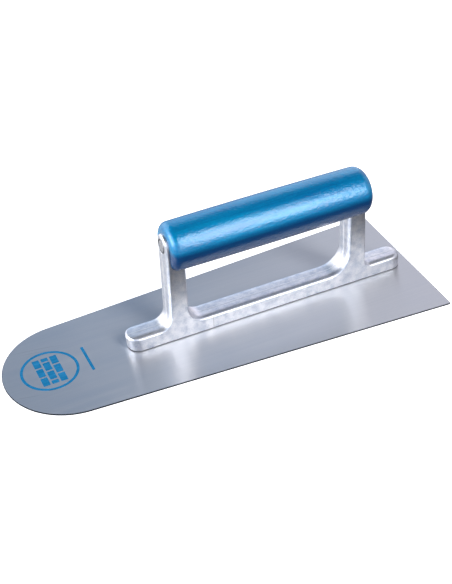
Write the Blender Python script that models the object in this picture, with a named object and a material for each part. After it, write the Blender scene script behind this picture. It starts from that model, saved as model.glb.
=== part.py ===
"""Steel finishing trowel: blade, cast bracket, wooden grip, grip rod and blade rivets.

Units are metres. +X runs from the round nose to the square heel, +Z is up.
The origin is at the middle of the blade's length and width, on its underside.
"""

import math

import bmesh
import bpy

# Gap kept between two pieces that touch.
GAP = 0.0003

# Blade: a flat plate with a round nose, straight sides that spread towards the heel, and a square heel.
BLADE_LENGTH = 0.280
HEEL_WIDTH = 0.1116
NOSE_RADIUS = 0.0425
BLADE_THICKNESS = 0.0010
HEEL_CORNER_RADIUS = 0.0010
NOSE_STEPS = 48
CORNER_STEPS = 4

# Bracket: one casting, the same on both sides of the plane y = 0.
BRACKET_CENTRE_X = 0.0360
BRACKET_WIDTH = 0.0150
BASE_HALF_LENGTH = 0.0972
SPINE_TOP_Z = 0.0115
REAR_FOOT_TOP_Z = 0.0111
UPRIGHT_OUTER_BASE = 0.0691
UPRIGHT_OUTER_TOP = 0.0683
UPRIGHT_INNER = 0.0560
BOSS_CENTRE_Z = 0.0691
TOE_UNDERCUT = 0.0010
FRONT_TOE_FILLET = 0.0080
REAR_TOE_FILLET = 0.0045
REAR_TOE_CORNER = 0.0040
FRONT_WINDOW_FILLET = 0.0105
REAR_WINDOW_FILLET = 0.0140
PROFILE_CORNER = 0.0018
EDGE_ROUND_WIDTH = 0.0030
EDGE_ROUND_DEPTH = 0.0015
EDGE_ROUND_STEPS = 5
FILLET_STEP = math.radians(15.0)

# Grip: a turned wooden cylinder with a slight belly, slotted at both ends for the uprights.
GRIP_AXIS_Z = 0.0671
GRIP_FRONT_X = -0.0301
GRIP_REAR_X = 0.1064
GRIP_MIDDLE_RADIUS = 0.0158
GRIP_END_RADIUS = 0.0154
GRIP_FRONT_ROUND = 0.0052
GRIP_REAR_ROUND = 0.0064
GRIP_ROUND_STEPS = 6
GRIP_BELLY_STEPS = 8
GRIP_SEGMENTS = 64
SLOT_STEPS = 16

# Rod that holds the grip, on the axis of the uprights' round tops. Both ends are peened out into
# countersinks. It passes through the grip a little above the grip's own axis.
ROD_RADIUS = 0.0035
ROD_HEAD_RADIUS = 0.0050
ROD_HEAD_DEPTH = 0.0015
ROD_HEAD_DOME = 0.0003
# Shares of the head's radius where its domed profile has a point.
DOME_SHARES = (0.0, 0.5, 1.0)
ROD_SEGMENTS = 32

# Blade rivets, countersunk in the blade's underside and set in blind holes in the bracket's base.
RIVET_COUNT = 8
RIVET_PITCH = 0.0250
RIVET_SHANK_RADIUS = 0.0020
RIVET_HEAD_RADIUS = 0.0037
RIVET_HEAD_EDGE = 0.00015
RIVET_HEAD_Z = 0.0001
RIVET_TOP_Z = 0.0080
RIVET_SEGMENTS = 24

# A cutter reaches this far past the face that it opens.
CUTTER_REACH = 0.0010

SMOOTH_ANGLE = math.radians(35.0)
HALF_WIDTH = BRACKET_WIDTH / 2
BRACKET_BOTTOM_Z = BLADE_THICKNESS + GAP
UPRIGHT_TOP_Z = BOSS_CENTRE_Z + HALF_WIDTH

# How a point of the bracket's side outline moves as the section nears either face of the casting.
EDGE = "rounded edge"
FRONT_TOE = "round end of the front foot"
REAR_TOE = "round end of the rear foot"
BOSS = "round top of an upright"


def clear_scene():
    """Remove every object that the file starts with."""
    for item in list(bpy.data.objects):
        bpy.data.objects.remove(item, do_unlink=True)


def make_material(name, colour, roughness, metallic):
    """Return a plain Principled material."""
    material = bpy.data.materials.new(name)
    material.use_nodes = True
    shader = material.node_tree.nodes["Principled BSDF"]
    shader.inputs["Base Color"].default_value = (*colour, 1.0)
    shader.inputs["Roughness"].default_value = roughness
    shader.inputs["Metallic"].default_value = metallic
    return material


def add_object(name, builder, material=None):
    """Turn a bmesh into an object with smooth faces and sharp creases."""
    bmesh.ops.recalc_face_normals(builder, faces=builder.faces)
    mesh = bpy.data.meshes.new(name)
    builder.to_mesh(mesh)
    builder.free()
    mesh.shade_smooth()
    mesh.set_sharp_from_angle(angle=SMOOTH_ANGLE)
    if material:
        mesh.materials.append(material)
    item = bpy.data.objects.new(name, mesh)
    bpy.context.scene.collection.objects.link(item)
    return item


def cut_with(target, cutter):
    """Cut one object with another, which stays in the file as a hidden cutter."""
    cutter.hide_render = True
    cutter.display_type = "WIRE"
    boolean = target.modifiers.new(cutter.name, "BOOLEAN")
    boolean.operation = "DIFFERENCE"
    boolean.solver = "EXACT"
    boolean.object = cutter


def arc_points(centre, radius, start, end, steps):
    """Return points along an arc, both ends included."""
    points = []
    for index in range(steps + 1):
        angle = start + (end - start) * index / steps
        points.append((centre[0] + radius * math.cos(angle), centre[1] + radius * math.sin(angle)))
    return points


def add_prism(builder, outline, place, extrusion):
    """Add a solid made by extruding a flat outline. place turns an outline point into a 3-D one."""
    face = builder.faces.new([builder.verts.new(place(*point)) for point in outline])
    extruded = bmesh.ops.extrude_face_region(builder, geom=[face])
    moved = [item for item in extruded["geom"] if isinstance(item, bmesh.types.BMVert)]
    bmesh.ops.translate(builder, verts=moved, vec=extrusion)


def add_turned(builder, profile, segments, place):
    """Add a turned solid. Its (radius, height) profile starts and ends on the axis."""
    rings = []
    for radius, height in profile:
        count = segments if radius > 0.0 else 1
        ring = []
        for index in range(count):
            angle = 2 * math.pi * index / segments
            ring.append(builder.verts.new(place(radius * math.cos(angle), radius * math.sin(angle), height)))
        rings.append(ring)
    for lower, upper in zip(rings, rings[1:]):
        for index in range(segments):
            following = (index + 1) % segments
            corners = [lower[index % len(lower)], lower[following % len(lower)],
                       upper[following % len(upper)], upper[index % len(upper)]]
            builder.faces.new(dict.fromkeys(corners))


def place_on_grip_axis(a, b, height):
    """Turn a point of the grip's profile into a 3-D one."""
    return (height, a, GRIP_AXIS_Z + b)


def place_on_rod_axis(a, b, height):
    """Turn a point of the rod's profile into a 3-D one."""
    return (height, a, BOSS_CENTRE_Z + b)


def blade_outline():
    """Return the blade's outline: the nose's arc, then the heel's two corners."""
    heel_x = BLADE_LENGTH / 2
    nose_x = NOSE_RADIUS - heel_x
    to_corner = math.atan2(HEEL_WIDTH / 2, heel_x - nose_x)
    reach = math.hypot(heel_x - nose_x, HEEL_WIDTH / 2)
    quarter = math.pi / 2
    tangent = quarter + to_corner - math.asin(NOSE_RADIUS / reach)
    corner_x = heel_x - HEEL_CORNER_RADIUS
    corner_y = HEEL_WIDTH / 2 - HEEL_CORNER_RADIUS * math.tan(tangent / 2)
    points = arc_points((nose_x, 0.0), NOSE_RADIUS, tangent, 2 * math.pi - tangent, NOSE_STEPS)
    points += arc_points((corner_x, -corner_y), HEEL_CORNER_RADIUS, -tangent, 0.0, CORNER_STEPS)
    points += arc_points((corner_x, corner_y), HEEL_CORNER_RADIUS, 0.0, tangent, CORNER_STEPS)
    return points


def make_blade(material):
    """Make the plate, with a countersunk hole for each rivet."""
    builder = bmesh.new()
    add_prism(builder, blade_outline(), lambda x, y: (x, y, 0.0), (0.0, 0.0, BLADE_THICKNESS))
    blade = add_object("blade", builder, material)
    head = RIVET_HEAD_RADIUS + GAP
    shank = RIVET_SHANK_RADIUS + GAP
    above = BLADE_THICKNESS + CUTTER_REACH
    profile = [(0.0, -CUTTER_REACH), (head, -CUTTER_REACH), (head, RIVET_HEAD_Z + RIVET_HEAD_EDGE),
               (shank, BLADE_THICKNESS), (shank, above), (0.0, above)]
    cut_with(blade, make_rivet_cutter("blade_hole_cutter", profile))
    return blade


def rounded_corner(before, corner, after, radius):
    """Return (point, outward normal) pairs round one corner of an outline that runs clockwise."""
    heading_in = math.atan2(corner[1] - before[1], corner[0] - before[0])
    heading_out = math.atan2(after[1] - corner[1], after[0] - corner[0])
    turn = math.remainder(heading_out - heading_in, 2 * math.pi)
    side = math.copysign(radius, turn)
    reach = radius * math.tan(abs(turn) / 2)
    start = (corner[0] - reach * math.cos(heading_in), corner[1] - reach * math.sin(heading_in))
    centre = (start[0] - side * math.sin(heading_in), start[1] + side * math.cos(heading_in))
    steps = math.ceil(abs(turn) / FILLET_STEP)
    pairs = []
    for index in range(steps + 1):
        heading = heading_in + turn * index / steps
        point = (centre[0] + side * math.sin(heading), centre[1] - side * math.cos(heading))
        pairs.append((point, (-math.sin(heading), math.cos(heading))))
    return pairs


def bracket_corners():
    """Return the corners of the side outline at y = 0, clockwise from the front foot's end.

    Each is (x from the bracket's middle, z, corner radius, how its points move near the faces).
    """
    toe = BASE_HALF_LENGTH
    bottom = BRACKET_BOTTOM_Z
    low = SPINE_TOP_Z
    high = UPRIGHT_TOP_Z
    return [
        (TOE_UNDERCUT - toe, bottom, 0.0, FRONT_TOE),
        (-toe, low, PROFILE_CORNER, FRONT_TOE),
        (-UPRIGHT_OUTER_BASE, low, FRONT_TOE_FILLET, EDGE),
        (-UPRIGHT_OUTER_TOP, high, PROFILE_CORNER, BOSS),
        (-UPRIGHT_INNER, high, PROFILE_CORNER, BOSS),
        (-UPRIGHT_INNER, low, FRONT_WINDOW_FILLET, EDGE),
        (UPRIGHT_INNER, low, REAR_WINDOW_FILLET, EDGE),
        (UPRIGHT_INNER, high, PROFILE_CORNER, BOSS),
        (UPRIGHT_OUTER_TOP, high, PROFILE_CORNER, BOSS),
        (UPRIGHT_OUTER_BASE, REAR_FOOT_TOP_Z, REAR_TOE_FILLET, EDGE),
        (toe, REAR_FOOT_TOP_Z, REAR_TOE_CORNER, REAR_TOE),
        (toe, bottom, 0.0, REAR_TOE),
    ]


def bracket_outline():
    """Return the side outline at y = 0 as (point, outward normal, how it moves) entries."""
    corners = bracket_corners()
    entries = []
    for index, (x, z, radius, movement) in enumerate(corners):
        if radius == 0.0:
            entries.append(((x, z), (0.0, 0.0), movement))
            continue
        for point, normal in rounded_corner(corners[index - 1], (x, z), corners[index + 1], radius):
            entries.append((point, normal, movement))
    return entries


def edge_inset(y):
    """Return how far the rounded edge stands back from the outline at a distance y from the middle."""
    ratio = (abs(y) - HALF_WIDTH + EDGE_ROUND_WIDTH) / EDGE_ROUND_WIDTH
    ratio = min(max(ratio, 0.0), 1.0)
    return EDGE_ROUND_DEPTH * (1.0 - math.sqrt(1.0 - ratio * ratio))


def end_inset(y):
    """Return how far a half-round end stands back at a distance y from the middle."""
    return HALF_WIDTH - math.sqrt(max(HALF_WIDTH ** 2 - y ** 2, 0.0))


def section_levels():
    """Return the y of each section, from one face of the casting to the other."""
    flat = HALF_WIDTH - EDGE_ROUND_WIDTH
    levels = [flat / 2]
    for index in range(EDGE_ROUND_STEPS + 1):
        levels.append(flat + EDGE_ROUND_WIDTH * math.sin(index * math.pi / 2 / EDGE_ROUND_STEPS))
    return [-y for y in reversed(levels)] + [0.0] + levels


def bracket_section(y):
    """Return the casting's outline at one level."""
    edge = edge_inset(y)
    end = end_inset(y)
    points = []
    for (x, z), (normal_x, normal_z), movement in bracket_outline():
        if movement == FRONT_TOE:
            moved = (x + end, z - normal_z * edge)
        elif movement == REAR_TOE:
            moved = (x - end, z - normal_z * edge)
        elif movement == BOSS:
            moved = (x - normal_x * edge, z - end)
        else:
            moved = (x - normal_x * edge, z - normal_z * edge)
        points.append((BRACKET_CENTRE_X + moved[0], y, moved[1]))
    return points


def make_bracket(material):
    """Make the casting from its sections, then cut the rod's hole and the rivets' blind holes."""
    builder = bmesh.new()
    sections = []
    for y in section_levels():
        sections.append([builder.verts.new(point) for point in bracket_section(y)])
    for near, far in zip(sections, sections[1:]):
        for index in range(len(near)):
            builder.faces.new((near[index - 1], near[index], far[index], far[index - 1]))
    builder.faces.new(sections[0])
    builder.faces.new(sections[-1])
    bracket = add_object("bracket", builder, material)
    cut_with(bracket, make_rod_cutter("bracket_bore_cutter"))
    shank = RIVET_SHANK_RADIUS + GAP
    below = BRACKET_BOTTOM_Z - CUTTER_REACH
    top = RIVET_TOP_Z + GAP
    profile = [(0.0, below), (shank, below), (shank, top), (0.0, top)]
    cut_with(bracket, make_rivet_cutter("bracket_hole_cutter", profile))
    return bracket


def boss_outer_distance():
    """Return the distance from the bracket's middle to an upright's outer face at the rod's axis."""
    share = (BOSS_CENTRE_Z - SPINE_TOP_Z) / (UPRIGHT_TOP_Z - SPINE_TOP_Z)
    return UPRIGHT_OUTER_BASE + (UPRIGHT_OUTER_TOP - UPRIGHT_OUTER_BASE) * share


def make_rod_cutter(name):
    """Make the cutter for the rod's bore and for the countersink in each upright."""
    face = boss_outer_distance()
    head = ROD_HEAD_RADIUS + GAP
    bore = ROD_RADIUS + GAP
    mouth = head + (head - bore) * CUTTER_REACH / ROD_HEAD_DEPTH
    half = [(0.0, face + CUTTER_REACH), (mouth, face + CUTTER_REACH), (bore, face - ROD_HEAD_DEPTH)]
    return add_rod_shape(name, half)


def make_rod(material):
    """Make the rod with its two peened ends."""
    face = boss_outer_distance()
    half = [(ROD_HEAD_RADIUS * share, face + ROD_HEAD_DOME * (1 - share ** 2)) for share in DOME_SHARES]
    half.append((ROD_RADIUS, face - ROD_HEAD_DEPTH))
    return add_rod_shape("grip_rod", half, material)


def add_rod_shape(name, half, material=None):
    """Add a turned solid on the rod's axis that is the same at both ends of the bracket."""
    profile = [(radius, BRACKET_CENTRE_X - height) for radius, height in half]
    profile += [(radius, BRACKET_CENTRE_X + height) for radius, height in reversed(half)]
    builder = bmesh.new()
    add_turned(builder, profile, ROD_SEGMENTS, place_on_rod_axis)
    return add_object(name, builder, material)


def grip_radius(x):
    """Return the grip's radius, largest halfway between its ends."""
    middle = (GRIP_FRONT_X + GRIP_REAR_X) / 2
    share = (x - middle) / (GRIP_REAR_X - middle)
    return GRIP_MIDDLE_RADIUS - (GRIP_MIDDLE_RADIUS - GRIP_END_RADIUS) * share ** 2


def grip_profile():
    """Return the grip's turned profile as (radius, x), from its front end to its rear end."""
    quarter = math.pi / 2
    front_x = GRIP_FRONT_X + GRIP_FRONT_ROUND
    rear_x = GRIP_REAR_X - GRIP_REAR_ROUND
    front = arc_points((grip_radius(front_x) - GRIP_FRONT_ROUND, front_x), GRIP_FRONT_ROUND,
                       -quarter, 0.0, GRIP_ROUND_STEPS)
    rear = arc_points((grip_radius(rear_x) - GRIP_REAR_ROUND, rear_x), GRIP_REAR_ROUND,
                      0.0, quarter, GRIP_ROUND_STEPS)
    belly = []
    for index in range(1, GRIP_BELLY_STEPS):
        x = front_x + (rear_x - front_x) * index / GRIP_BELLY_STEPS
        belly.append((grip_radius(x), x))
    return [(0.0, GRIP_FRONT_X)] + front + belly + rear + [(0.0, GRIP_REAR_X)]


def slot_outline():
    """Return the section of the slot that an upright fills: open below, half-round on top."""
    half = HALF_WIDTH + GAP
    bottom = GRIP_AXIS_Z - GRIP_MIDDLE_RADIUS - CUTTER_REACH
    top = arc_points((0.0, BOSS_CENTRE_Z), half, 0.0, math.pi, SLOT_STEPS)
    return [(half, bottom)] + top + [(-half, bottom)]


def make_slot_cutter(name, inner_x, outer_x):
    """Make the cutter for the slot at one end of the grip."""
    builder = bmesh.new()
    add_prism(builder, slot_outline(), lambda y, z: (inner_x, y, z), (outer_x - inner_x, 0.0, 0.0))
    return add_object(name, builder)


def make_grip(material):
    """Make the grip, with its bore and a slot at each end for an upright."""
    builder = bmesh.new()
    add_turned(builder, grip_profile(), GRIP_SEGMENTS, place_on_grip_axis)
    grip = add_object("grip", builder, material)
    front_inner = BRACKET_CENTRE_X - UPRIGHT_INNER + GAP
    rear_inner = BRACKET_CENTRE_X + UPRIGHT_INNER - GAP
    cut_with(grip, make_slot_cutter("front_slot_cutter", front_inner, GRIP_FRONT_X - CUTTER_REACH))
    cut_with(grip, make_slot_cutter("rear_slot_cutter", rear_inner, GRIP_REAR_X + CUTTER_REACH))
    cut_with(grip, make_rod_cutter("grip_bore_cutter"))
    return grip


def rivet_places():
    """Return the x of each rivet, evenly spaced about the bracket's middle."""
    first = BRACKET_CENTRE_X - RIVET_PITCH * (RIVET_COUNT - 1) / 2
    return [first + RIVET_PITCH * index for index in range(RIVET_COUNT)]


def make_rivet_cutter(name, profile):
    """Make one cutter that drills the same hole at every rivet."""
    builder = bmesh.new()
    for x in rivet_places():
        add_turned(builder, profile, RIVET_SEGMENTS, lambda a, b, height: (x + a, b, height))
    return add_object(name, builder)


def make_rivets(material):
    """Make the countersunk rivets, one object each."""
    neck = BLADE_THICKNESS
    profile = [(0.0, RIVET_HEAD_Z), (RIVET_HEAD_RADIUS, RIVET_HEAD_Z),
               (RIVET_HEAD_RADIUS, RIVET_HEAD_Z + RIVET_HEAD_EDGE), (RIVET_SHANK_RADIUS, neck),
               (RIVET_SHANK_RADIUS, RIVET_TOP_Z), (0.0, RIVET_TOP_Z)]
    rivets = []
    for number, x in enumerate(rivet_places(), start=1):
        builder = bmesh.new()
        add_turned(builder, profile, RIVET_SEGMENTS, lambda a, b, height: (a, b, height))
        rivet = add_object(f"rivet_{number}", builder, material)
        rivet.location.x = x
        rivets.append(rivet)
    return rivets


def main():
    """Build the trowel and parent its pieces to one empty."""
    clear_scene()
    steel = make_material("blade_steel", (0.56, 0.58, 0.62), 0.32, 1.0)
    aluminium = make_material("cast_aluminium", (0.80, 0.80, 0.82), 0.38, 1.0)
    lacquer = make_material("blue_lacquer", (0.0, 0.17, 0.46), 0.22, 0.0)
    rod_steel = make_material("rod_steel", (0.62, 0.62, 0.64), 0.40, 1.0)
    rivet_metal = make_material("rivet_aluminium", (0.74, 0.74, 0.76), 0.35, 1.0)
    pieces = [make_blade(steel), make_bracket(aluminium), make_grip(lacquer), make_rod(rod_steel)]
    pieces += make_rivets(rivet_metal)
    trowel = bpy.data.objects.new("trowel", None)
    bpy.context.scene.collection.objects.link(trowel)
    for piece in pieces:
        piece.parent = trowel


if __name__ == "__main__":
    main()
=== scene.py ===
"""Steel finishing trowel: finished pieces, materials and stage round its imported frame."""

import math

import bmesh
import bpy
from bpy.props import FloatProperty, FloatVectorProperty, IntProperty, PointerProperty
from bpy.types import Operator, Panel, PropertyGroup
from mathutils import Matrix, Vector


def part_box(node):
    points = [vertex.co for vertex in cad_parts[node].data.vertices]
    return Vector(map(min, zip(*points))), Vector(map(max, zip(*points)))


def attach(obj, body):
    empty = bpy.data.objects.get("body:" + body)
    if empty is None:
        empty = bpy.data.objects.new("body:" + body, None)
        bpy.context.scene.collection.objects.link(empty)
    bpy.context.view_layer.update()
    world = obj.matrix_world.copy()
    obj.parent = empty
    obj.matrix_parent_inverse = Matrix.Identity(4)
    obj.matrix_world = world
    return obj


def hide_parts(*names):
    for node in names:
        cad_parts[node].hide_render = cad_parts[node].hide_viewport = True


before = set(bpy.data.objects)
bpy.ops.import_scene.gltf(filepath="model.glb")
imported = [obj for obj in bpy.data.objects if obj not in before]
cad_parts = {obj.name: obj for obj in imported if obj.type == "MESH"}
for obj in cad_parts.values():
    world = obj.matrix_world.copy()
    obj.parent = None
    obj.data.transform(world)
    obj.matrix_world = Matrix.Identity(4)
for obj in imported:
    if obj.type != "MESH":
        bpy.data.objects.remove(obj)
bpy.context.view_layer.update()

bl_info = {
    "name": "Finishing Trowel",
    "version": (1, 0, 0),
    "blender": (4, 5, 0),
    "location": "View3D > Sidebar > Trowel",
    "description": "Makes a steel finishing trowel round its packed frame",
    "category": "Add Mesh",
}

BODY = "root"
RIVET_NODES = sorted(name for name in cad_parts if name.startswith("rivet_"))

BLADE_LOW, BLADE_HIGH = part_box("blade")
BRACKET_LOW, BRACKET_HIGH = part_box("bracket")
GRIP_LOW, GRIP_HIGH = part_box("grip")
ROD_LOW, ROD_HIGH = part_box("grip_rod")
BRACKET_X = (BRACKET_LOW.x + BRACKET_HIGH.x) / 2
HALF_WIDTH = (BRACKET_HIGH.y - BRACKET_LOW.y) / 2
ROD_Z = (ROD_LOW.z + ROD_HIGH.z) / 2
GRIP_Z = (GRIP_LOW.z + GRIP_HIGH.z) / 2

# Merge distance for turned shapes and for doubles, well under the smallest feature.
MERGE = 0.000002
# A cutter reaches this far past the face that it opens.
CUTTER_REACH = 0.0010
SMOOTH_ANGLE = math.radians(20.0)
QUARTER = math.pi / 2
# Height of the straight rim under a rivet's countersunk head.
RIVET_RIM = 0.00015
# The blade's rivet holes all lie nearer to its middle than this, along X.
RIVETS_END = 0.13
# A blade face whose normal is steeper than this is one of the flat sides.
FLAT_SIDE = 0.96
# Middle of the groove with painted shade in a peened end, as a share of the head's radius.
GROOVE_SHARE = 0.82
# X of the thin witness line on the casting's sides.
WITNESS_X = -0.0047
MARK_CENTRE = (-0.1105, 0.0025)

# How a point of the casting's side outline moves as the section nears either face.
EDGE = "rounded edge"
FRONT_TOE = "round end of the front foot"
REAR_TOE = "round end of the rear foot"
BOSS = "round top of an upright"


def length(default, name, description):
    """Return a property that holds a size in metres."""
    return FloatProperty(name=name, description=description, default=default, min=0.0,
                         subtype="DISTANCE", unit="LENGTH", precision=5)


def share(default, name, description):
    """Return a property that holds a share from 0 to 1."""
    return FloatProperty(name=name, description=description, default=default, min=0.0, max=1.0,
                         subtype="FACTOR")


def colour(default, name, description):
    """Return a property that holds a linear colour."""
    return FloatVectorProperty(name=name, description=description, default=default, size=3,
                               min=0.0, max=1.0, subtype="COLOR")


class TrowelBladeSettings(PropertyGroup):
    """Sizes and finish of the blade."""

    nose_radius: length(0.0425, "Nose radius", "Radius of the round front end")
    corner_radius: length(0.0010, "Heel corner", "Radius of the two corners at the heel")
    edge_break: length(0.00030, "Edge break", "Width of the broken edge round both faces")
    steel: colour((0.64, 0.65, 0.68), "Steel", "Bright side of the brushed steel")
    steel_shade: colour((0.56, 0.58, 0.62), "Steel shade", "Dark side of the brushed steel")
    # Both edge colours are painted shade on the blade's edge, darkest at the nose.
    edge_dark: colour((0.012, 0.018, 0.027), "Edge at the nose", "Blued edge at the nose")
    edge_light: colour((0.050, 0.058, 0.070), "Edge at the heel", "Worn edge at the heel")
    roughness: share(0.37, "Roughness", "Middle roughness of the brushed faces")
    brushing: share(0.88, "Brushing", "How much more the finish scatters across the brushing")


class TrowelCastingSettings(PropertyGroup):
    """Sizes and finish of the cast bracket."""

    spine_top: length(0.0115, "Spine top", "Height of the spine and front foot")
    rear_foot_top: length(0.0111, "Rear foot top", "Height of the rear foot")
    upright_base: length(0.0691, "Upright base", "Middle of the bracket to an upright's outer foot")
    upright_top: length(0.0683, "Upright top", "Middle of the bracket to an upright's outer top")
    upright_inner: length(0.0560, "Upright inside", "Middle of the bracket to an inner face")
    toe_undercut: length(0.0010, "Toe undercut", "How far the front foot's end leans back below")
    front_toe_fillet: length(0.0080, "Front foot fillet", "Fillet from front foot to upright")
    rear_toe_fillet: length(0.0045, "Rear foot fillet", "Fillet from rear foot to upright")
    rear_toe_corner: length(0.0040, "Rear foot corner", "Radius of the rear foot's top end")
    front_window: length(0.0105, "Front window fillet", "Fillet from spine to front upright")
    rear_window: length(0.0140, "Rear window fillet", "Fillet from spine to rear upright")
    corner: length(0.0018, "Corner", "Radius of the other corners of the outline")
    round_width: length(0.0038, "Edge round width", "Width of the rounded edges")
    round_depth: length(0.0015, "Edge round depth", "Depth of the rounded edges")
    linish: share(0.955, "Round left", "Part of the edge round that linishing the sides leaves")
    parting_height: length(0.00009, "Parting line height", "How far the parting line stands proud")
    parting_width: length(0.00070, "Parting line width", "Width of the parting line")
    metal: colour((0.81, 0.81, 0.83), "Aluminium", "Bright side of the casting")
    metal_shade: colour((0.56, 0.60, 0.68), "Aluminium shade", "Dull patches of the casting")
    # The linished sides are a real finish, and this darker tone on them is also painted shade.
    linished: share(0.78, "Linished tone", "Brightness of the linished sides beside the rest")


class TrowelGripSettings(PropertyGroup):
    """Sizes and finish of the wooden grip."""

    end_radius: length(0.0154, "End radius", "Radius where the end rounds begin")
    front_round: length(0.0052, "Front round", "Radius of the front end's rounding")
    rear_round: length(0.0064, "Rear round", "Radius of the rear end's rounding")
    slot_gap: length(0.00012, "Slot gap", "Clearance between a slot and its upright")
    lacquer: colour((0.000, 0.285, 0.545), "Lacquer", "Main blue of the lacquer")
    lacquer_deep: colour((0.000, 0.165, 0.400), "Deep lacquer", "Blue where the lacquer lies thick")
    # Strength of the painted shade that darkens the grip's lower side.
    painted_underside_shade: share(0.75, "Drained tone", "Depth of the lower side, where the wet lacquer drained")
    pearl: share(0.40, "Pearl", "How much the lacquer shines from within")
    segments: IntProperty(name="Segments", description="Faces round the grip", default=112, min=16)


class TrowelFixingSettings(PropertyGroup):
    """Sizes and finish of the grip rod and the blade rivets."""

    rod_radius: length(0.0035, "Rod radius", "Radius of the rod")
    head_radius: length(0.0050, "Rod head radius", "Radius of the peened ends")
    head_depth: length(0.0015, "Rod head depth", "Depth of the countersink under a peened end")
    dome: length(0.00030, "Rod head dome", "How far a peened end stands proud")
    rivet_head: length(0.0037, "Rivet head radius", "Radius of a rivet's head")
    rivet_shank: length(0.0020, "Rivet shank radius", "Radius of a rivet's shank")
    rivet_top: length(0.0080, "Rivet top", "Height of a rivet's blind end")
    gap: length(0.00005, "Gap", "Clearance round rod and rivets")
    rod_steel: colour((0.76, 0.76, 0.79), "Rod steel", "Colour of the rod")
    rivet_metal: colour((0.74, 0.74, 0.77), "Rivet metal", "Colour of the rivets")


class TrowelMarkSettings(PropertyGroup):
    """Sizes and colour of the printed brick mark."""

    ring_radius: length(0.0182, "Ring radius", "Outer radius of the printed ring")
    line: length(0.0018, "Line width", "Width of the ring and the bar")
    brick_length: length(0.0076, "Brick length", "Length of a printed brick")
    brick_height: length(0.0044, "Brick height", "Height of a printed brick")
    mortar: length(0.0012, "Mortar", "Gap between the printed bricks")
    ink_height: length(0.00003, "Ink height", "Thickness of the printed ink")
    ink: colour((0.000, 0.145, 0.320), "Ink", "Blue of the printed mark")


class TrowelStageSettings(PropertyGroup):
    """Floor, lights and camera."""

    floor_size: length(8.0, "Floor size", "Side of the square floor")
    floor_tone: colour((0.93, 0.93, 0.94), "Floor", "Colour of the floor")
    floor_glow: FloatProperty(name="Floor glow", description="Light that the floor gives of itself",
                              default=0.80, min=0.0)
    key_power: FloatProperty(name="Key light", description="Power of the large front softbox",
                             default=15.5, min=0.0, subtype="POWER")
    side_power: FloatProperty(name="Side light", description="Power of the softbox off the nose",
                              default=11.0, min=0.0, subtype="POWER")
    lens: FloatProperty(name="Lens", description="Focal length of the camera", default=74.335,
                        min=1.0, subtype="DISTANCE_CAMERA")


# Meshes ---------------------------------------------------------------------------------------


def new_piece(name, builder):
    """Turn a bmesh into an object at the origin, its faces pointing outwards."""
    bmesh.ops.remove_doubles(builder, verts=builder.verts, dist=MERGE)
    bmesh.ops.recalc_face_normals(builder, faces=builder.faces)
    mesh = bpy.data.meshes.new(name)
    builder.to_mesh(mesh)
    builder.free()
    piece = bpy.data.objects.new(name, mesh)
    bpy.context.scene.collection.objects.link(piece)
    return piece


def apply_stack(piece):
    """Replace a piece's mesh by what its modifiers make of it."""
    bpy.context.view_layer.update()
    depsgraph = bpy.context.evaluated_depsgraph_get()
    finished = bpy.data.meshes.new_from_object(piece.evaluated_get(depsgraph))
    before = piece.data
    piece.modifiers.clear()
    piece.data = finished
    finished.name = piece.name
    bpy.data.meshes.remove(before)


def cut(piece, cutter):
    """Cut a piece with a helper object, which is then removed."""
    boolean = piece.modifiers.new("Cut", "BOOLEAN")
    boolean.operation = "DIFFERENCE"
    boolean.solver = "EXACT"
    boolean.object = cutter
    apply_stack(piece)
    used = cutter.data
    bpy.data.objects.remove(cutter)
    bpy.data.meshes.remove(used)


def smooth(piece):
    """Shade a piece smooth between its creases."""
    piece.data.shade_smooth()
    piece.data.set_sharp_from_angle(angle=SMOOTH_ANGLE)


def finish_piece(piece, materials, nodes=()):
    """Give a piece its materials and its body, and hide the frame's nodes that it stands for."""
    if not piece.data.polygons:
        raise RuntimeError(f"{piece.name} has no faces")
    for material in materials:
        piece.data.materials.append(material)
    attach(piece, BODY)
    if nodes:
        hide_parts(*nodes)


def arc_points(centre, radius, start, end, steps):
    """Return points along an arc, both ends included."""
    angles = [start + (end - start) * index / steps for index in range(steps + 1)]
    return [(centre[0] + radius * math.cos(a), centre[1] + radius * math.sin(a)) for a in angles]


def add_prism(builder, outline, place, extrusion):
    """Add a solid made by extruding a flat outline. place turns an outline point into a 3-D one."""
    face = builder.faces.new([builder.verts.new(place(*point)) for point in outline])
    extruded = bmesh.ops.extrude_face_region(builder, geom=[face])
    moved = [item for item in extruded["geom"] if isinstance(item, bmesh.types.BMVert)]
    bmesh.ops.translate(builder, verts=moved, vec=extrusion)


def turned(name, profile, steps, axis, place):
    """Turn a (radius, height) profile about an axis with a Screw, then move it to its place."""
    builder = bmesh.new()
    along_x = axis == "X"
    line = [builder.verts.new((h, 0.0, r) if along_x else (r, 0.0, h)) for r, h in profile]
    for start, end in zip(line, line[1:]):
        builder.edges.new((start, end))
    mesh = bpy.data.meshes.new(name)
    builder.to_mesh(mesh)
    builder.free()
    piece = bpy.data.objects.new(name, mesh)
    bpy.context.scene.collection.objects.link(piece)
    screw = piece.modifiers.new("Turn", "SCREW")
    screw.axis = axis
    screw.angle = 2 * math.pi
    screw.steps = steps
    screw.render_steps = steps
    screw.use_merge_vertices = True
    screw.merge_threshold = MERGE
    apply_stack(piece)
    builder = bmesh.new()
    builder.from_mesh(piece.data)
    bmesh.ops.remove_doubles(builder, verts=builder.verts, dist=MERGE)
    bmesh.ops.recalc_face_normals(builder, faces=builder.faces)
    builder.to_mesh(piece.data)
    builder.free()
    piece.data.transform(Matrix.Translation(place))
    return piece


# Materials ------------------------------------------------------------------------------------


def add(tree, kind, inputs, **settings):
    """Add a shader node. Each input is a value or another node's output."""
    node = tree.nodes.new("ShaderNode" + kind)
    for name, value in settings.items():
        setattr(node, name, value)
    for key, value in inputs.items():
        if isinstance(value, bpy.types.NodeSocket):
            tree.links.new(value, node.inputs[key])
        else:
            node.inputs[key].default_value = value
    return node


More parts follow.
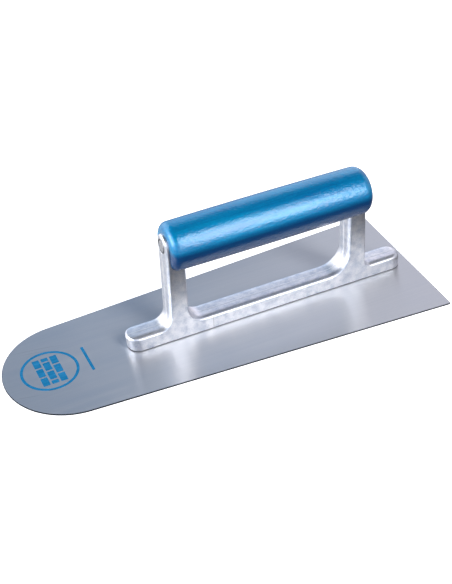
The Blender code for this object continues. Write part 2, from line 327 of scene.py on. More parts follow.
def start_material(name):
    """Return a new material's tree, its shader and its Object coordinates."""
    material = bpy.data.materials.new(name)
    material.use_nodes = True
    tree = material.node_tree
    place = tree.nodes.new("ShaderNodeTexCoord")
    return material, tree, tree.nodes["Principled BSDF"], place


def grain(tree, place, scale, detail=3.0, roughness=0.6):
    """Return noise whose frequency, per metre, may differ along each axis."""
    mapping = add(tree, "Mapping", {"Vector": place.outputs["Object"], "Scale": scale})
    return add(tree, "TexNoise", {"Vector": mapping.outputs[0], "Scale": 1.0, "Detail": detail,
                                  "Roughness": roughness}).outputs["Fac"]


def between(tree, value, low, high, start, end):
    """Return value carried from low..high to start..end, and held there outside."""
    return add(tree, "MapRange", {"Value": value, "From Min": low, "From Max": high,
                                  "To Min": start, "To Max": end}).outputs[0]


def calc(tree, operation, first, second):
    """Return the result of a Math node."""
    return add(tree, "Math", {0: first, 1: second}, operation=operation).outputs[0]


def blend(tree, first, second, part):
    """Return two values added up, the first with the given share."""
    return calc(tree, "ADD", calc(tree, "MULTIPLY", first, part),
                calc(tree, "MULTIPLY", second, 1.0 - part))


def distance_from(tree, value, middle):
    """Return how far a value is from a middle, on either side."""
    return calc(tree, "ABSOLUTE", calc(tree, "SUBTRACT", value, middle), 0.0)


def mix(tree, factor, first, second):
    """Return a colour between two others."""
    node = tree.nodes.new("ShaderNodeMix")
    node.data_type = "RGBA"
    for index, value in ((0, factor), (6, first), (7, second)):
        if isinstance(value, bpy.types.NodeSocket):
            tree.links.new(value, node.inputs[index])
        elif index == 0:
            node.inputs[index].default_value = value
        else:
            node.inputs[index].default_value = (*value, 1.0)
    return node.outputs[2]


def bump(tree, height, strength, distance, under=None):
    """Return a normal raised by a height pattern, on top of another if one is given."""
    inputs = {"Height": height, "Strength": strength, "Distance": distance}
    if under:
        inputs["Normal"] = under
    return add(tree, "Bump", inputs).outputs[0]


def arc_scratch(tree, place, centre, radius, width, window):
    """Return 1 along a faint circular scratch and 0 elsewhere. window is its range of x."""
    offset = add(tree, "VectorMath", {0: place.outputs["Object"], 1: (*centre, BLADE_HIGH.z)},
                 operation="SUBTRACT").outputs[0]
    reach = add(tree, "VectorMath", {0: offset}, operation="LENGTH").outputs["Value"]
    line = between(tree, distance_from(tree, reach, radius), 0.0, width, 1.0, 0.0)
    x = add(tree, "SeparateXYZ", {0: place.outputs["Object"]}).outputs["X"]
    middle, half = (window[0] + window[1]) / 2, (window[1] - window[0]) / 2
    inside = between(tree, distance_from(tree, x, middle), half * 0.4, half, 1.0, 0.0)
    return calc(tree, "MULTIPLY", line, inside)


def brushed_steel(settings):
    """Return the blade's brushed faces."""
    material, tree, shader, place = start_material("brushed_steel")
    wide = grain(tree, place, (10.0, 420.0, 420.0), 3.0)
    fine = grain(tree, place, (22.0, 2600.0, 2600.0), 4.0)
    cloud = grain(tree, place, (26.0, 34.0, 34.0), 2.0)
    tone = blend(tree, blend(tree, wide, fine, 0.5), cloud, 0.75)
    faces = mix(tree, between(tree, tone, 0.30, 0.70, 0.0, 1.0), tuple(settings.steel_shade),
                tuple(settings.steel))
    scratches = [
        arc_scratch(tree, place, (-0.142, -0.150), 0.178, 0.00028, (-0.130, -0.094)),
        arc_scratch(tree, place, (-0.150, -0.146), 0.1725, 0.00022, (-0.126, -0.100)),
        arc_scratch(tree, place, (-0.090, 0.160), 0.1790, 0.00024, (-0.139, -0.121)),
    ]
    worn = calc(tree, "MAXIMUM", calc(tree, "MAXIMUM", scratches[0], scratches[1]), scratches[2])
    dark = tuple(part * 0.6 for part in settings.steel_shade)
    base = mix(tree, calc(tree, "MULTIPLY", worn, 0.5), faces, dark)
    tree.links.new(base, shader.inputs["Base Color"])
    rough = between(tree, tone, 0.3, 0.7, settings.roughness - 0.05, settings.roughness + 0.06)
    tree.links.new(rough, shader.inputs["Roughness"])
    tree.links.new(bump(tree, fine, 0.22, 0.00002), shader.inputs["Normal"])
    tangent = add(tree, "Tangent", {}, direction_type="UV_MAP", uv_map="brushing")
    tree.links.new(tangent.outputs[0], shader.inputs["Tangent"])
    shader.inputs["Metallic"].default_value = 1.0
    shader.inputs["Anisotropic"].default_value = settings.brushing
    return material


def painted_shade_edge(settings):
    """Return the blade's edge, with painted shade: near black at the nose and lighter towards the
    heel.
    """
    material, tree, shader, place = start_material("painted_shade_edge")
    x = add(tree, "SeparateXYZ", {0: place.outputs["Object"]}).outputs["X"]
    # Painted shade that lightens from the nose to the heel, broken up by random patches.
    heel_lightening = between(tree, x, BLADE_LOW.x * 0.8, BLADE_HIGH.x, 0.0, 1.0)
    patches = grain(tree, place, (70.0, 70.0, 900.0), 4.0)
    worn = calc(tree, "ADD", heel_lightening, between(tree, patches, 0.3, 0.7, -0.3, 0.3))
    tree.links.new(mix(tree, worn, tuple(settings.edge_dark), tuple(settings.edge_light)),
                   shader.inputs["Base Color"])
    tree.links.new(between(tree, patches, 0.3, 0.7, 0.32, 0.5), shader.inputs["Roughness"])
    tree.links.new(bump(tree, patches, 0.2, 0.00003), shader.inputs["Normal"])
    shader.inputs["Metallic"].default_value = 0.6
    shader.inputs["Specular IOR Level"].default_value = 0.3
    return material


def cast_aluminium(settings):
    """Return the tumbled bright casting, with linished sides, a witness line, painted shade on the
    sides and foot, and a painted highlight on the parting line.
    """
    material, tree, shader, place = start_material("cast_aluminium")
    patches = grain(tree, place, (230.0, 230.0, 230.0), 4.0, 0.62)
    pits = grain(tree, place, (1150.0, 1150.0, 1150.0), 3.0)
    marks = grain(tree, place, (1500.0, 60.0, 110.0), 3.0)
    split = add(tree, "SeparateXYZ", {0: place.outputs["Object"]})
    facing = add(tree, "SeparateXYZ", {0: place.outputs["Normal"]}).outputs["Y"]
    side = between(tree, calc(tree, "ABSOLUTE", facing, 0.0), 0.975, 0.995, 0.0, 1.0)
    tone = blend(tree, patches, pits, 0.7)
    base = mix(tree, between(tree, tone, 0.36, 0.60, 0.0, 1.0), tuple(settings.metal_shade),
               tuple(settings.metal))
    off_line = distance_from(tree, split.outputs["X"], WITNESS_X)
    line = calc(tree, "MULTIPLY", between(tree, off_line, 0.0001, 0.00028, 1.0, 0.0), side)
    spine = settings.spine_top
    low = between(tree, split.outputs["Z"], spine - 0.0007, spine - 0.0001, 1.0, 0.0)
    witness = calc(tree, "MULTIPLY", calc(tree, "MULTIPLY", line, low), 0.55)
    # A painted highlight brightens the parting line, and painted shade darkens the foot where the
    # casting meets the blade.
    parting = distance_from(tree, split.outputs["Y"], 0.0)
    # Painted highlight: the colour is lifted to near white along the parting line.
    base = mix(tree, between(tree, parting, 0.00025, 0.0005, 0.8, 0.0), base, (0.95, 0.95, 0.96))
    # Painted shade: the linished sides are darkened beside the rest of the casting.
    linished_and_shaded = mix(tree, calc(tree, "MULTIPLY", side, 1.0 - settings.linished), base, (0.0, 0.0, 0.0))
    foot = BRACKET_LOW.z
    # Painted shade: a dark band along the bottom of the casting, where it meets the blade.
    foot_gap_shade = between(tree, split.outputs["Z"], foot + 0.0002, foot + 0.0006, 0.9, 0.0)
    # The real witness line and the painted shade at the foot share this dark colour.
    witness_and_gap_shade = mix(tree, calc(tree, "MAXIMUM", witness, foot_gap_shade), linished_and_shaded, (0.10, 0.10, 0.12))
    tree.links.new(witness_and_gap_shade, shader.inputs["Base Color"])
    polished = between(tree, tone, 0.3, 0.7, 0.50, 0.33)
    linished = between(tree, tone, 0.3, 0.7, 0.50, 0.34)
    rough = add(tree, "Mix", {0: side, 2: polished, 3: linished}).outputs[0]
    tree.links.new(rough, shader.inputs["Roughness"])
    raised = bump(tree, patches, 0.22, 0.00022)
    raised = bump(tree, pits, 0.15, 0.00005, raised)
    brushed = calc(tree, "MULTIPLY", marks, side)
    tree.links.new(bump(tree, brushed, 0.25, 0.00003, raised), shader.inputs["Normal"])
    shader.inputs["Metallic"].default_value = 1.0
    return material


def blue_lacquer(settings):
    """Return pearly blue lacquer over turned wood, rippled, with painted shade darkening its lower
    side.
    """
    material, tree, shader, place = start_material("blue_lacquer")
    fibres = grain(tree, place, (34.0, 900.0, 900.0), 4.0)
    figure = grain(tree, place, (12.0, 130.0, 130.0), 3.0)
    peel = grain(tree, place, (700.0, 900.0, 900.0), 3.0, 0.6)
    ripple = grain(tree, place, (420.0, 560.0, 560.0), 3.0, 0.6)
    tone = blend(tree, figure, fibres, 0.6)
    blue = mix(tree, between(tree, tone, 0.36, 0.62, 0.0, 1.0), tuple(settings.lacquer_deep),
               tuple(settings.lacquer))
    height = add(tree, "SeparateXYZ", {0: place.outputs["Object"]}).outputs["Z"]
    # Painted shade: the grip's lower side is darkened towards deep navy.
    under = between(tree, height, GRIP_Z + 0.0005, GRIP_Z + 0.0040, settings.painted_underside_shade, 0.0)
    specked = mix(tree, between(tree, peel, 0.42, 0.58, 0.16, 0.0), blue, (0.0, 0.07, 0.22))
    tree.links.new(mix(tree, under, specked, (0.0, 0.012, 0.12)), shader.inputs["Base Color"])
    tree.links.new(between(tree, peel, 0.3, 0.7, 0.40, 0.52), shader.inputs["Roughness"])
    raised = bump(tree, peel, 0.7, 0.00050, bump(tree, fibres, 0.35, 0.00020))
    tree.links.new(raised, shader.inputs["Normal"])
    tree.links.new(bump(tree, ripple, 0.6, 0.00045), shader.inputs["Coat Normal"])
    shader.inputs["Metallic"].default_value = settings.pearl
    shader.inputs["Specular IOR Level"].default_value = 0.0
    shader.inputs["Coat Weight"].default_value = 1.0
    shader.inputs["Coat IOR"].default_value = 1.62
    shader.inputs["Coat Roughness"].default_value = 0.18
    return material


def peened_steel(settings):
    """Return the rod's bare steel, hammered at its ends, with painted shade in their grooves."""
    material, tree, shader, place = start_material("peened_steel")
    blows = add(tree, "TexVoronoi", {"Vector": place.outputs["Object"], "Scale": 720.0},
                feature="SMOOTH_F1").outputs["Distance"]
    scale = grain(tree, place, (900.0, 900.0, 900.0), 4.0)
    dark = tuple(part * 0.45 for part in settings.rod_steel)
    metal = mix(tree, between(tree, scale, 0.35, 0.62, 0.0, 1.0), dark, tuple(settings.rod_steel))
    offset = add(tree, "VectorMath", {0: place.outputs["Object"], 1: (0.0, 0.0, ROD_Z)},
                 operation="SUBTRACT").outputs[0]
    offset = add(tree, "VectorMath", {0: offset, 1: (0.0, 1.0, 1.0)},
                 operation="MULTIPLY").outputs[0]
    reach = add(tree, "VectorMath", {0: offset}, operation="LENGTH").outputs["Value"]
    off_groove = distance_from(tree, reach, settings.head_radius * GROOVE_SHARE)
    # Painted shade: the groove round each peened end is darkened to near black.
    groove_shade = between(tree, off_groove, 0.0003, 0.0006, 0.85, 0.0)
    tree.links.new(mix(tree, groove_shade, metal, (0.01, 0.02, 0.03)), shader.inputs["Base Color"])
    tree.links.new(between(tree, scale, 0.3, 0.7, 0.40, 0.22), shader.inputs["Roughness"])
    tree.links.new(bump(tree, blows, 0.6, 0.00025), shader.inputs["Normal"])
    shader.inputs["Metallic"].default_value = 1.0
    return material


def ground_rivet(settings):
    """Return the rivets' metal, ground flush along the blade."""
    material, tree, shader, place = start_material("ground_rivet")
    streaks = grain(tree, place, (60.0, 2600.0, 2600.0), 4.0)
    dark = tuple(part * 0.78 for part in settings.rivet_metal)
    metal = mix(tree, streaks, dark, tuple(settings.rivet_metal))
    tree.links.new(metal, shader.inputs["Base Color"])
    tree.links.new(between(tree, streaks, 0.3, 0.7, 0.30, 0.44), shader.inputs["Roughness"])
    tree.links.new(bump(tree, streaks, 0.25, 0.00002), shader.inputs["Normal"])
    shader.inputs["Metallic"].default_value = 1.0
    return material


def printed_ink(settings):
    """Return the ink of the printed mark, thin in places."""
    material, tree, shader, place = start_material("printed_ink")
    thin = grain(tree, place, (160.0, 1500.0, 1500.0), 4.0)
    light = tuple(min(1.0, part * 1.35 + 0.02) for part in settings.ink)
    tree.links.new(mix(tree, between(tree, thin, 0.42, 0.66, 0.0, 1.0), tuple(settings.ink), light),
                   shader.inputs["Base Color"])
    tree.links.new(between(tree, thin, 0.3, 0.7, 0.42, 0.56), shader.inputs["Roughness"])
    tree.links.new(bump(tree, thin, 0.1, 0.00002), shader.inputs["Normal"])
    shader.inputs["Specular IOR Level"].default_value = 0.10
    return material


# Blade ----------------------------------------------------------------------------------------


def blade_outline(settings):
    """Return the blade's outline: the nose's arc, then the heel's two corners."""
    heel_x = BLADE_HIGH.x
    half_heel = BLADE_HIGH.y
    nose = settings.nose_radius
    nose_x = BLADE_LOW.x + nose
    reach = math.hypot(heel_x - nose_x, half_heel)
    tangent = QUARTER + math.atan2(half_heel, heel_x - nose_x) - math.asin(nose / reach)
    corner = settings.corner_radius
    corner_x = heel_x - corner
    corner_y = half_heel - corner * math.tan(tangent / 2)
    points = arc_points((nose_x, 0.0), nose, tangent, 2 * math.pi - tangent, 96)
    points += arc_points((corner_x, -corner_y), corner, -tangent, 0.0, 6)
    points += arc_points((corner_x, corner_y), corner, 0.0, tangent, 6)
    return points


def rivet_centres():
    """Return the x of each rivet, from the frame."""
    boxes = [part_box(name) for name in RIVET_NODES]
    return [(low.x + high.x) / 2 for low, high in boxes]


def make_rivet_holes(name, profile):
    """Return one cutter that opens the same hole at every rivet."""
    builder = bmesh.new()
    for x in rivet_centres():
        drill = turned("drill", profile, 48, "Z", (x, 0.0, 0.0))
        builder.from_mesh(drill.data)
        used = drill.data
        bpy.data.objects.remove(drill)
        bpy.data.meshes.remove(used)
    return new_piece(name, builder)


class TROWEL_OT_blade(Operator):
    """Make the brushed blade with its rivet holes"""

    bl_idname = "trowel.blade"
    bl_label = "Blade"

    def execute(self, context):
        settings = context.scene.trowel_blade
        fixing = context.scene.trowel_fixing
        thickness = BLADE_HIGH.z - BLADE_LOW.z
        builder = bmesh.new()
        add_prism(builder, blade_outline(settings), lambda x, y: (x, y, BLADE_LOW.z),
                  (0.0, 0.0, thickness))
        blade = new_piece("blade_plate", builder)
        bevel = blade.modifiers.new("Edge break", "BEVEL")
        bevel.width = settings.edge_break
        bevel.segments = 2
        bevel.limit_method = "ANGLE"
        bevel.angle_limit = math.radians(60.0)
        apply_stack(blade)
        head = fixing.rivet_head + fixing.gap
        shank = fixing.rivet_shank + fixing.gap
        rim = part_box(RIVET_NODES[0])[0].z + RIVET_RIM
        above = BLADE_HIGH.z + CUTTER_REACH
        below = BLADE_LOW.z - CUTTER_REACH
        profile = [(0.0, above), (shank, above), (shank, BLADE_HIGH.z), (head, rim), (head, below),
                   (0.0, below)]
        cut(blade, make_rivet_holes("blade_drill", profile))
        smooth(blade)
        layer = blade.data.uv_layers.new(name="brushing")
        for loop in blade.data.loops:
            place = blade.data.vertices[loop.vertex_index].co
            layer.data[loop.index].uv = (place.y, place.x)
        for face in blade.data.polygons:
            outside = abs(face.center.y) > HALF_WIDTH or abs(face.center.x) > RIVETS_END
            face.material_index = 1 if outside and abs(face.normal.z) < FLAT_SIDE else 0
        finish_piece(blade, [brushed_steel(settings), painted_shade_edge(settings)], ["blade"])
        return {"FINISHED"}


# Casting --------------------------------------------------------------------------------------


def rounded_corner(before, corner, after, radius):
    """Return (point, outward normal) pairs round one corner of an outline that runs clockwise."""
    heading_in = math.atan2(corner[1] - before[1], corner[0] - before[0])
    heading_out = math.atan2(after[1] - corner[1], after[0] - corner[0])
    turn = math.remainder(heading_out - heading_in, 2 * math.pi)
    side = math.copysign(radius, turn)
    reach = radius * math.tan(abs(turn) / 2)
    start = (corner[0] - reach * math.cos(heading_in), corner[1] - reach * math.sin(heading_in))
    centre = (start[0] - side * math.sin(heading_in), start[1] + side * math.cos(heading_in))
    steps = math.ceil(abs(turn) / math.radians(6.0))
    pairs = []
    for index in range(steps + 1):
        heading = heading_in + turn * index / steps
        point = (centre[0] + side * math.sin(heading), centre[1] - side * math.cos(heading))
        pairs.append((point, (-math.sin(heading), math.cos(heading))))
    return pairs


def casting_outline(settings):
    """Return the casting's side outline at y = 0 as (point, outward normal, how it moves)."""
    toe = (BRACKET_HIGH.x - BRACKET_LOW.x) / 2
    bottom = BRACKET_LOW.z
    low = settings.spine_top
    high = BRACKET_HIGH.z
    foot = settings.rear_foot_top
    base = settings.upright_base
    top = settings.upright_top
    inner = settings.upright_inner
    small = settings.corner
    corners = [
        (settings.toe_undercut - toe, bottom, 0.0, FRONT_TOE),
        (-toe, low, small, FRONT_TOE),
        (-base, low, settings.front_toe_fillet, EDGE),
        (-top, high, small, BOSS),
        (-inner, high, small, BOSS),
        (-inner, low, settings.front_window, EDGE),
        (inner, low, settings.rear_window, EDGE),
        (inner, high, small, BOSS),
        (top, high, small, BOSS),
        (base, foot, settings.rear_toe_fillet, EDGE),
        (toe, foot, settings.rear_toe_corner, REAR_TOE),
        (toe, bottom, 0.0, REAR_TOE),
    ]
    entries = []
    for index, (x, z, radius, movement) in enumerate(corners):
        if radius == 0.0:
            entries.append(((x, z), (0.0, 0.0), movement))
            continue
        following = corners[(index + 1) % len(corners)]
        for point, normal in rounded_corner(corners[index - 1], (x, z), following, radius):
            entries.append((point, normal, movement))
    return entries


def edge_inset(settings, y):
    """Return how far the surface stands back from the outline at a distance y from the middle."""
    ratio = (abs(y) - HALF_WIDTH + settings.round_width) / settings.round_width
    left = settings.linish
    if ratio <= 0.0:
        return 0.0
    fall = (1.0 - math.sqrt(1.0 - (left * ratio) ** 2)) / (1.0 - math.sqrt(1.0 - left ** 2))
    return settings.round_depth * fall


def end_inset(y):
    """Return how far a half-round end stands back at a distance y from the middle."""
    return HALF_WIDTH - math.sqrt(max(HALF_WIDTH ** 2 - y ** 2, 0.0))


def casting_levels(settings):
    """Return (y, parting line height) for each section, from one face to the other."""
    flat = HALF_WIDTH - settings.round_width
    levels = [(sign * (flat + settings.round_width * math.sin(index * QUARTER / 10)), 0.0)
              for sign in (-1, 1) for index in range(11)]
    levels += [(sign * flat * part, 0.0) for sign in (-1, 1) for part in (0.3, 0.65)]
    half = settings.parting_width / 2
    high = settings.parting_height
    levels += [(-half, 0.0), (-half * 0.4, high), (half * 0.4, high), (half, 0.0)]
    return sorted(levels)


def casting_section(settings, outline, y, raised):
    """Return the casting's outline at one level."""
    edge = edge_inset(settings, y) - raised
    end = end_inset(y)
    points = []
    for (x, z), (normal_x, normal_z), movement in outline:
        if movement == FRONT_TOE:
            moved = (x + end, z - normal_z * edge)
        elif movement == REAR_TOE:
            moved = (x - end, z - normal_z * edge)
        elif movement == BOSS:
            moved = (x - normal_x * edge, z - end)
        else:
            moved = (x - normal_x * edge, z - normal_z * edge)
        points.append((BRACKET_X + moved[0], y, moved[1]))
    return points


def boss_face(settings):
    """Return the distance from the bracket's middle to an upright's outer face at the rod."""
    part = (ROD_Z - settings.spine_top) / (BRACKET_HIGH.z - settings.spine_top)
    return settings.upright_base + (settings.upright_top - settings.upright_base) * part


def rod_cutter(casting, fixing):
    """Return the cutter for the rod's bore and its two countersinks."""
    face = boss_face(casting)
    head = fixing.head_radius + fixing.gap
    bore = fixing.rod_radius + fixing.gap
    mouth = head + (head - bore) * CUTTER_REACH / fixing.head_depth
    far = face + CUTTER_REACH
    near = face - fixing.head_depth
    profile = [(0.0, far), (mouth, far), (bore, near), (bore, -near), (mouth, -far), (0.0, -far)]
    return turned("rod_drill", profile, 64, "X", (BRACKET_X, 0.0, ROD_Z))


class TROWEL_OT_casting(Operator):
    """Make the cast bracket with its rounded edges, parting line and bores"""

    bl_idname = "trowel.casting"
    bl_label = "Casting"

    def execute(self, context):
        settings = context.scene.trowel_casting
        fixing = context.scene.trowel_fixing
        outline = casting_outline(settings)
        builder = bmesh.new()
        sections = []
        for y, raised in casting_levels(settings):
            points = casting_section(settings, outline, y, raised)
            sections.append([builder.verts.new(point) for point in points])
        for near, far in zip(sections, sections[1:]):
            for index in range(len(near)):
                builder.faces.new((near[index - 1], near[index], far[index], far[index - 1]))
        builder.faces.new(sections[0])
        builder.faces.new(sections[-1])
        casting = new_piece("casting", builder)
        cut(casting, rod_cutter(settings, fixing))
        shank = fixing.rivet_shank + fixing.gap
        top = fixing.rivet_top + fixing.gap
        below = BRACKET_LOW.z - CUTTER_REACH
        profile = [(0.0, top), (shank, top), (shank, below), (0.0, below)]
        cut(casting, make_rivet_holes("casting_drill", profile))
        smooth(casting)
        finish_piece(casting, [cast_aluminium(settings)], ["bracket"])
        return {"FINISHED"}


# Grip -----------------------------------------------------------------------------------------


def grip_profile(settings):
    """Return the grip's turned profile as (radius, x), from its front end to its rear end."""
    middle = (GRIP_LOW.x + GRIP_HIGH.x) / 2
    widest = (GRIP_HIGH.y - GRIP_LOW.y) / 2

    def radius(x):
        part = (x - middle) / (GRIP_HIGH.x - middle)
        return widest - (widest - settings.end_radius) * part ** 2

    front_x = GRIP_LOW.x + settings.front_round
    rear_x = GRIP_HIGH.x - settings.rear_round
    front = arc_points((radius(front_x) - settings.front_round, front_x), settings.front_round,
                       -QUARTER, 0.0, 12)
    rear = arc_points((radius(rear_x) - settings.rear_round, rear_x), settings.rear_round,
                      0.0, QUARTER, 12)
    stops = 18
    places = [front_x + (rear_x - front_x) * index / stops for index in range(1, stops)]
    belly = [(radius(x), x) for x in places]
    return [(0.0, GRIP_LOW.x)] + front + belly + rear + [(0.0, GRIP_HIGH.x)]


class TROWEL_OT_grip(Operator):
    """Make the turned grip and let it down over the uprights"""

    bl_idname = "trowel.grip"
    bl_label = "Grip"

    def execute(self, context):
        settings = context.scene.trowel_grip
        casting = context.scene.trowel_casting
        profile = list(reversed(grip_profile(settings)))
        grip = turned("grip_wood", profile, settings.segments, "X", (0.0, 0.0, GRIP_Z))
        half = HALF_WIDTH + settings.slot_gap
        inner = casting.upright_inner - settings.slot_gap
        open_z = GRIP_LOW.z - CUTTER_REACH
        arch = arc_points((0.0, ROD_Z), half, 0.0, math.pi, 32)
        outline = [(half, open_z)] + arch + [(-half, open_z)]
        for start, end in ((BRACKET_X - inner, GRIP_LOW.x - CUTTER_REACH),
                           (BRACKET_X + inner, GRIP_HIGH.x + CUTTER_REACH)):
            builder = bmesh.new()
            add_prism(builder, outline, lambda y, z, x=start: (x, y, z), (end - start, 0.0, 0.0))
            cut(grip, new_piece("slot", builder))
        cut(grip, rod_cutter(casting, context.scene.trowel_fixing))
        smooth(grip)
        finish_piece(grip, [blue_lacquer(settings)], ["grip"])
        return {"FINISHED"}


# Rod and rivets -------------------------------------------------------------------------------


class TROWEL_OT_rod(Operator):
    """Make the rod with its two peened ends"""

    bl_idname = "trowel.rod"
    bl_label = "Grip rod"

    def execute(self, context):
        settings = context.scene.trowel_fixing
        face = boss_face(context.scene.trowel_casting)
        head = settings.head_radius
        dome = settings.dome
        # Shares of the head's radius and of the dome's height, from the middle out to the rim:
        # a domed centre, a groove left by the peening tool, then a rolled lip.
        steps = [(0.0, 1.0), (0.25, 0.96), (0.45, 0.84), (0.62, 0.62), (0.72, 0.20), (0.78, -1.20),
                 (0.86, -1.30), (0.91, 0.10), (0.96, 0.22), (1.0, -0.10)]
        half = [(head * across, face + dome * up) for across, up in steps]
        half.append((settings.rod_radius, face - settings.head_depth))
        profile = half + [(radius, -height) for radius, height in reversed(half)]
        rod = turned("rod", profile, 64, "X", (BRACKET_X, 0.0, ROD_Z))
        smooth(rod)
        finish_piece(rod, [peened_steel(settings)], ["grip_rod"])
        return {"FINISHED"}


class TROWEL_OT_rivets(Operator):
    """Make the countersunk rivets under the blade"""

    bl_idname = "trowel.rivets"
    bl_label = "Blade rivets"

    def execute(self, context):
        settings = context.scene.trowel_fixing
        metal = ground_rivet(settings)
        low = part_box(RIVET_NODES[0])[0].z
        head = settings.rivet_head
        shank = settings.rivet_shank
        break_edge = 0.00006
        profile = [(0.0, settings.rivet_top), (shank - break_edge, settings.rivet_top),
                   (shank, settings.rivet_top - break_edge), (shank, BLADE_HIGH.z),
                   (head, low + RIVET_RIM), (head, low + break_edge), (head - break_edge, low),
                   (0.0, low)]
        for node, x in zip(RIVET_NODES, rivet_centres()):
            rivet = turned("blade_" + node, profile, 48, "Z", (x, 0.0, 0.0))
            smooth(rivet)
            finish_piece(rivet, [metal], [node])
        return {"FINISHED"}


# Printed mark ---------------------------------------------------------------------------------


def add_rectangle(builder, centre, size, corner):
    """Add a flat rectangle with rounded corners, facing up."""
    half_x, half_y = size[0] / 2 - corner, size[1] / 2 - corner
    points = []
    for index, (sx, sy) in enumerate(((1, 1), (-1, 1), (-1, -1), (1, -1))):
        middle = (centre[0] + sx * half_x, centre[1] + sy * half_y)
        points += arc_points(middle, corner, index * QUARTER, (index + 1) * QUARTER, 4)
    builder.faces.new([builder.verts.new((x, y, 0.0)) for x, y in points])


class TROWEL_OT_mark(Operator):
    """Print a ring round three courses of bricks near the nose, with a plain bar beside it"""

    bl_idname = "trowel.mark"
    bl_label = "Printed mark"

    def execute(self, context):
        settings = context.scene.trowel_mark
        builder = bmesh.new()
        outer, inner = settings.ring_radius, settings.ring_radius - settings.line
        rings = []
        for radius in (inner, outer):
            points = arc_points((0.0, 0.0), radius, 0.0, 2 * math.pi, 128)[:-1]
            rings.append([builder.verts.new((x, y, 0.0)) for x, y in points])
        near, far = rings
        for index in range(len(near)):
            builder.faces.new((near[index - 1], far[index - 1], far[index], near[index]))
        pitch = settings.brick_length + settings.mortar
        rise = settings.brick_height + settings.mortar
        corner = 0.0004
        half_brick = (settings.brick_length - settings.mortar) / 2
        # Each brick is (its middle, in pitches from the mark's middle, and its length).
        whole = [(along, settings.brick_length) for along in (-1.0, 0.0, 1.0)]
        bonded = [(along, settings.brick_length) for along in (-0.5, 0.5)]
        bonded += [(along, half_brick) for along in (-1.25, 1.25)]
        for course, bricks in ((-1, whole), (0, bonded), (1, whole)):
            for along, long in bricks:
                centre = (course * rise, along * pitch)
                add_rectangle(builder, centre, (settings.brick_height, long), corner)
        bar_x = outer + 3.5 * settings.line
        add_rectangle(builder, (bar_x, 0.0), (settings.line, 1.3 * outer), corner)
        bmesh.ops.recalc_face_normals(builder, faces=builder.faces)
        for face in builder.faces:
            if face.normal.z < 0.0:
                face.normal_flip()
        bmesh.ops.translate(builder, verts=builder.verts, vec=(*MARK_CENTRE, BLADE_HIGH.z))
        mesh = bpy.data.meshes.new("nose_mark")
        builder.to_mesh(mesh)
        builder.free()
        mark = bpy.data.objects.new("nose_mark", mesh)
        context.scene.collection.objects.link(mark)
        ink = mark.modifiers.new("Ink", "SOLIDIFY")
        ink.thickness = settings.ink_height
        ink.offset = 1.0
        finish_piece(mark, [printed_ink(settings)])
        return {"FINISHED"}


# Stage ----------------------------------------------------------------------------------------

# The point that the lights face.
TARGET = (BRACKET_X, 0.0, 0.04)
KEY_PLACE, KEY_SIZE = (0.50, -1.15, 0.93), (0.60, 1.20)
SIDE_PLACE, SIDE_SIZE = (-1.2, 0.1, 0.38), (0.9, 0.8)
CAMERA_PLACE = (-0.22652, -0.55229, 0.48491)
# In degrees.
CAMERA_TURN = (52.1883, 2.4905, -24.9346)
# Level direction in which the surround's tones follow one another, and each tone's place on it,
# from 0 at the far left to 1 at the far right.
TONES_RUN = (0.906, -0.421, 0.0)
TONES = ((0.22, (0.94, 0.95, 1.0)), (0.32, (0.37, 0.47, 0.59)), (0.40, (0.29, 0.41, 0.59)),
         (0.50, (0.50, 0.55, 0.65)), (0.55, (0.70, 0.70, 0.79)), (0.62, (0.82, 0.80, 0.90)),
         (0.70, (0.36, 0.36, 0.40)))


def add_softbox(name, place, size, power):
    """Add a rectangular area light that faces the trowel."""
    light = bpy.data.lights.new(name, "AREA")
    light.shape = "RECTANGLE"
    light.size, light.size_y = size
    light.energy = power
    lamp = bpy.data.objects.new(name, light)
    lamp.location = place
    lamp.rotation_euler = (Vector(TARGET) - Vector(place)).to_track_quat("-Z", "Y").to_euler()
    bpy.context.scene.collection.objects.link(lamp)


def make_world():
    """Make a studio surround, bluer off the nose, dim below in front and dark overhead."""
    world = bpy.data.worlds.new("studio")
    bpy.context.scene.world = world
    world.use_nodes = True
    tree = world.node_tree
    direction = tree.nodes.new("ShaderNodeTexCoord").outputs["Generated"]
    across = add(tree, "VectorMath", {0: direction, 1: TONES_RUN}, operation="DOT_PRODUCT")
    ramp = tree.nodes.new("ShaderNodeValToRGB")
    stops = ramp.color_ramp.elements
    for index, (position, tone) in enumerate(TONES):
        stop = stops[index] if index < len(stops) else stops.new(position)
        stop.position = position
        stop.color = (*tone, 1.0)
    tree.links.new(between(tree, across.outputs["Value"], -1.0, 1.0, 0.0, 1.0), ramp.inputs[0])
    tree.links.new(ramp.outputs[0], tree.nodes["Background"].inputs["Color"])
    split = add(tree, "SeparateXYZ", {0: direction})
    height = split.outputs["Z"]
    low = between(tree, split.outputs["Y"], -0.3, 0.2, 0.1, 0.4)
    table = between(tree, height, -0.12, 0.0, low, 1.0)
    ceiling = between(tree, height, 0.67, 0.74, 1.95, 0.05)
    strength = calc(tree, "MULTIPLY", table, ceiling)
    tree.links.new(strength, tree.nodes["Background"].inputs["Strength"])


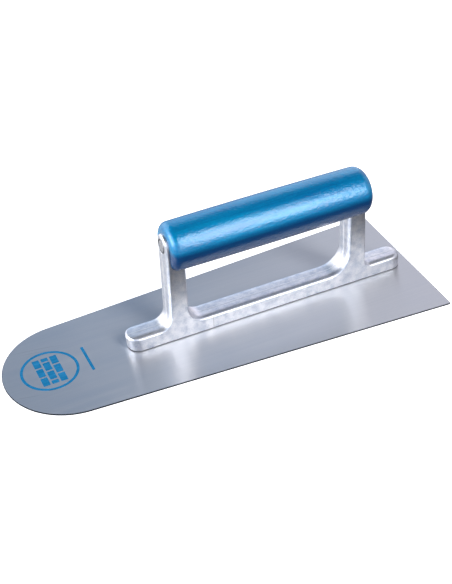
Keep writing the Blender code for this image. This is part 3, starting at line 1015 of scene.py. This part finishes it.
class TROWEL_OT_stage(Operator):
    """Make the floor, the lights and the camera"""

    bl_idname = "trowel.stage"
    bl_label = "Stage"

    def execute(self, context):
        settings = context.scene.trowel_stage
        half = settings.floor_size / 2
        builder = bmesh.new()
        corners = ((-half, -half), (half, -half), (half, half), (-half, half))
        builder.faces.new([builder.verts.new((x, y, BLADE_LOW.z - 0.0001)) for x, y in corners])
        mesh = bpy.data.meshes.new("floor")
        builder.to_mesh(mesh)
        builder.free()
        floor = bpy.data.objects.new("floor", mesh)
        context.scene.collection.objects.link(floor)
        material, _, shader, _ = start_material("pale_floor")
        shader.inputs["Base Color"].default_value = (*settings.floor_tone, 1.0)
        shader.inputs["Emission Color"].default_value = (1.0, 1.0, 1.0, 1.0)
        shader.inputs["Emission Strength"].default_value = settings.floor_glow
        shader.inputs["Roughness"].default_value = 0.9
        mesh.materials.append(material)
        floor.visible_glossy = False
        floor.visible_diffuse = False
        make_world()
        add_softbox("key", KEY_PLACE, KEY_SIZE, settings.key_power)
        add_softbox("side", SIDE_PLACE, SIDE_SIZE, settings.side_power)
        data = bpy.data.cameras.new("camera")
        data.lens = settings.lens
        data.clip_start = 0.01
        camera = bpy.data.objects.new("camera", data)
        camera.location = CAMERA_PLACE
        camera.rotation_euler = [math.radians(turn) for turn in CAMERA_TURN]
        context.scene.collection.objects.link(camera)
        context.scene.camera = camera
        context.scene.view_settings.view_transform = "Standard"
        return {"FINISHED"}


# Panel and start ------------------------------------------------------------------------------


MAKERS = (TROWEL_OT_blade, TROWEL_OT_casting, TROWEL_OT_grip, TROWEL_OT_rod, TROWEL_OT_rivets,
          TROWEL_OT_mark, TROWEL_OT_stage)
SETTINGS = (("trowel_blade", TrowelBladeSettings), ("trowel_casting", TrowelCastingSettings),
            ("trowel_grip", TrowelGripSettings), ("trowel_fixing", TrowelFixingSettings),
            ("trowel_mark", TrowelMarkSettings), ("trowel_stage", TrowelStageSettings))


class TROWEL_PT_panel(Panel):
    """Lists the trowel's pieces and their settings"""

    bl_idname = "TROWEL_PT_panel"
    bl_label = "Finishing Trowel"
    bl_space_type = "VIEW_3D"
    bl_region_type = "UI"
    bl_category = "Trowel"

    def draw(self, context):
        for maker in MAKERS:
            self.layout.operator(maker.bl_idname)
        for name, group in SETTINGS:
            box = self.layout.box()
            for key in group.__annotations__:
                box.prop(getattr(context.scene, name), key)


def register():
    """Register the settings, the operators and the panel."""
    for name, group in SETTINGS:
        bpy.utils.register_class(group)
        setattr(bpy.types.Scene, name, PointerProperty(type=group))
    for maker in MAKERS:
        bpy.utils.register_class(maker)
    bpy.utils.register_class(TROWEL_PT_panel)


def unregister():
    """Unregister the panel, the operators and the settings."""
    bpy.utils.unregister_class(TROWEL_PT_panel)
    for maker in reversed(MAKERS):
        bpy.utils.unregister_class(maker)
    for name, group in reversed(SETTINGS):
        delattr(bpy.types.Scene, name)
        bpy.utils.unregister_class(group)


def main():
    """Register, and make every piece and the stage."""
    register()
    bpy.ops.trowel.blade()
    bpy.ops.trowel.casting()
    bpy.ops.trowel.grip()
    bpy.ops.trowel.rod()
    bpy.ops.trowel.rivets()
    bpy.ops.trowel.mark()
    bpy.ops.trowel.stage()


if __name__ == "__main__":
    main()
